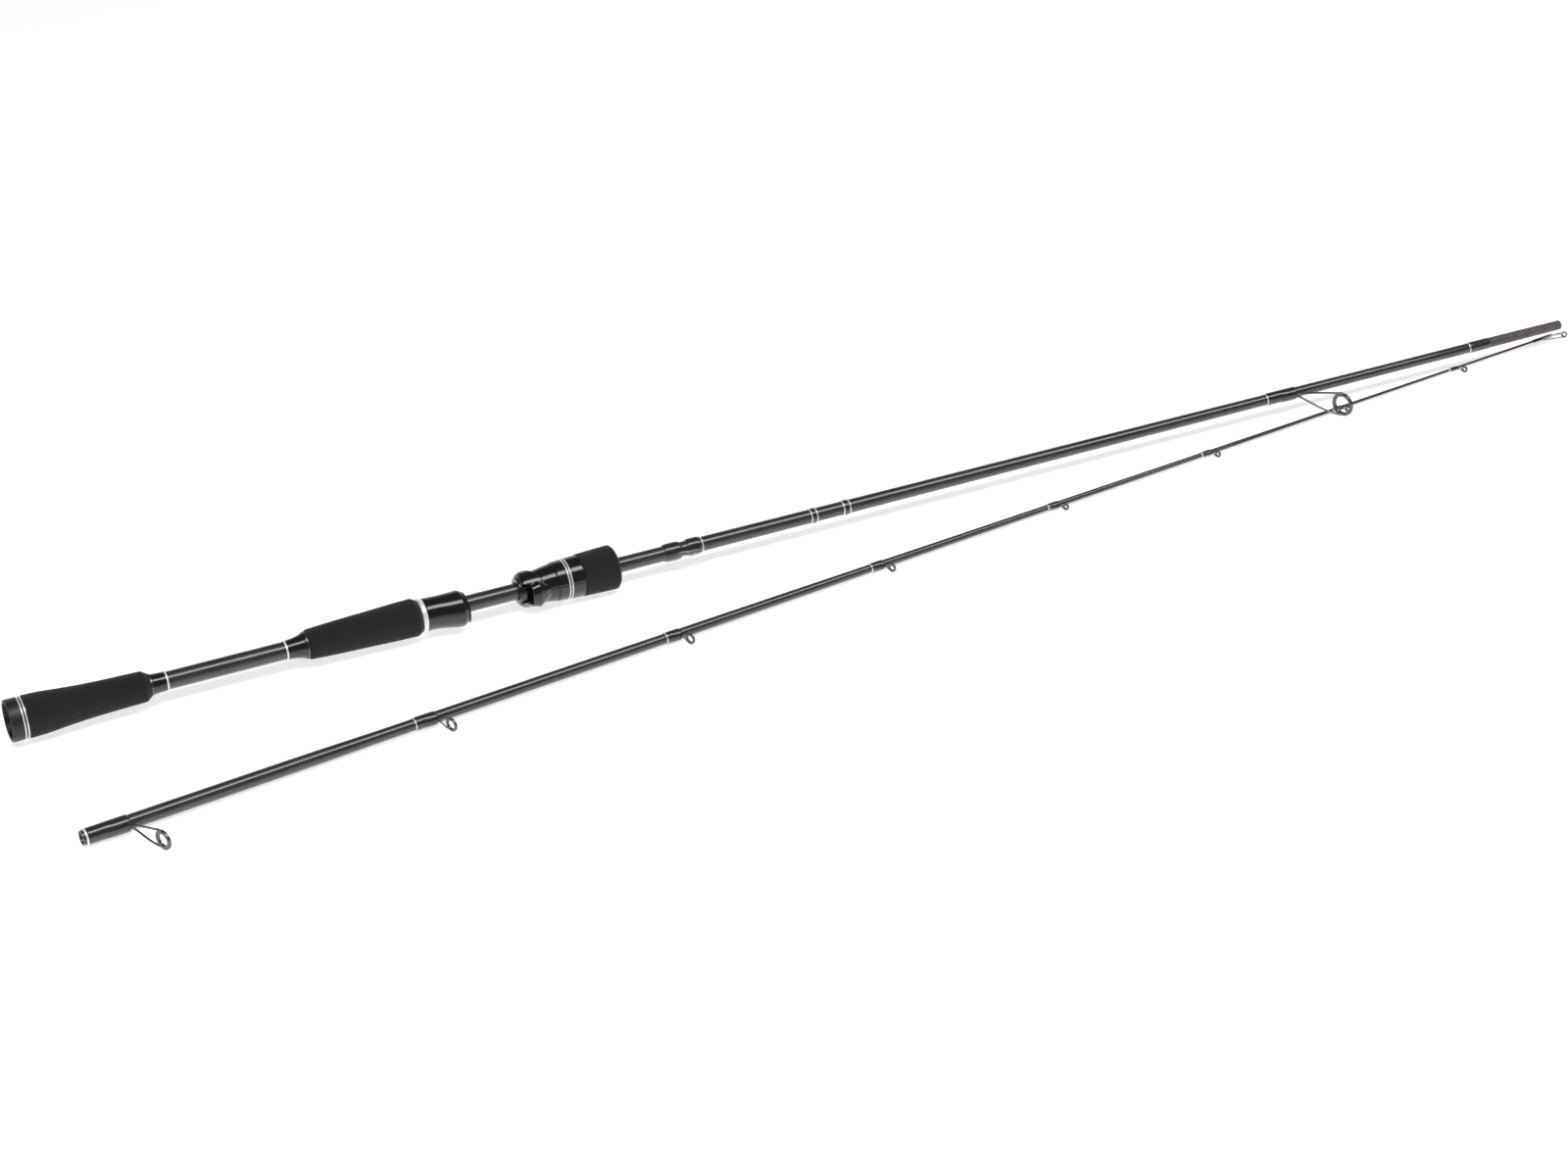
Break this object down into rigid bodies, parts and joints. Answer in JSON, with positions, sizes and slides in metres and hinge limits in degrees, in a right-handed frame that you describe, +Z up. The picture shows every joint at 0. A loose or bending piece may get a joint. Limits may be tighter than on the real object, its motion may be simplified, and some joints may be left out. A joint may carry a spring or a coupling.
{
  "type": "spinning rod",
  "caption": "Spinning rod taken apart at its ferrule: split foam grips, screw-down reel seat, carbon blanks, leaning wire guides with ceramic rings, and a tip-top.",
  "frame": {"origin": "centre of the base of the whole object's box, on the surface that both sections lie on", "axes": "+X along the butt section from the butt cap to the ferrule, +Z up, guides towards -Y"},
  "size_m": [1.1522, 0.1634, 0.0286],
  "materials": {
    "carbon_blank": "clear-coated woven carbon",
    "eva_foam": "matte closed-cell foam",
    "seat_plastic": "gloss black moulding",
    "cap_plastic": "satin black moulding",
    "bright_trim": "polished",
    "thread_wrap": "black thread under clear epoxy",
    "guide_frame": "dark polished wire frame",
    "guide_ceramic": "polished dark ceramic",
    "liner": "soft black moulding"
  },
  "bodies": {
    "butt_section": {"butt_blank": "carbon_blank", "butt_cap": "cap_plastic", "butt_ring_rear": "bright_trim", "butt_ring_front": "bright_trim", "butt_grip": "eva_foam", "butt_winding_check": "guide_frame", "butt_cone": "thread_wrap", "butt_cone_ring": "bright_trim", "rear_cone_ring": "bright_trim", "rear_cone": "thread_wrap", "rear_winding_check": "guide_frame", "rear_grip": "eva_foam", "seat_ring": "bright_trim", "rear_hood": "seat_plastic", "seat_arbor": "liner", "threaded_barrel": "seat_plastic", "keeper_wrap_rear": "thread_wrap", "keeper_wrap_front": "thread_wrap", "hook_keeper": "guide_frame", "band_wrap_rear": "thread_wrap", "band_wrap_front": "thread_wrap", "stripping_guide_frame": "guide_frame", "stripping_guide_insert": "guide_ceramic", "stripping_guide_wrap": "thread_wrap", "ferrule_wrap": "thread_wrap"},
    "hood_carriage": {"front_hood": "seat_plastic", "hood_liner": "liner"},
    "foregrip_nut": {"lock_nut": "seat_plastic", "nut_ring_rear": "bright_trim", "nut_ring_front": "bright_trim", "foregrip": "eva_foam"},
    "tip_section": {"tip_blank": "carbon_blank", "socket_ring": "bright_trim", "socket_wrap": "thread_wrap", "guide_1_frame": "guide_frame", "guide_1_insert": "guide_ceramic", "guide_2_wrap": "thread_wrap", "guide_2_frame": "guide_frame", "guide_2_insert": "guide_ceramic", "guide_3_wrap": "thread_wrap", "guide_3_frame": "guide_frame", "guide_3_insert": "guide_ceramic", "guide_4_wrap": "thread_wrap", "guide_4_frame": "guide_frame", "guide_4_insert": "guide_ceramic", "guide_5_wrap": "thread_wrap", "guide_5_frame": "guide_frame", "guide_5_insert": "guide_ceramic", "guide_6_wrap": "thread_wrap", "guide_6_frame": "guide_frame", "guide_6_insert": "guide_ceramic", "guide_7_wrap": "thread_wrap", "guide_7_frame": "guide_frame", "guide_7_insert": "guide_ceramic", "guide_8_wrap": "thread_wrap", "guide_8_frame": "guide_frame", "guide_8_insert": "guide_ceramic", "tip_top_wrap": "thread_wrap", "tip_top_frame": "guide_frame", "tip_top_insert": "guide_ceramic"}
  },
  "joints": [
    {"name": "front_hood_slide", "type": "slide", "parent": "butt_section", "child": "hood_carriage", "axis": [1, 0, 0], "range_m": [0, 0.0161]},
    {"name": "lock_nut_turn", "type": "hinge", "parent": "hood_carriage", "child": "foregrip_nut", "pos_m": [-0.20609, 0.06741, 0.01432], "axis": [1, 0, 0], "range_deg": [0, 2880]},
    {"name": "tip_section_lift_away", "type": "slide", "parent": "butt_section", "child": "tip_section", "axis": [0, -1, 0], "range_m": [0, 0.2]}
  ],
  "couplings": [
    {"joint": "front_hood_slide", "follows": "lock_nut_turn", "m_per_rad": 0.00031831}
  ]
}
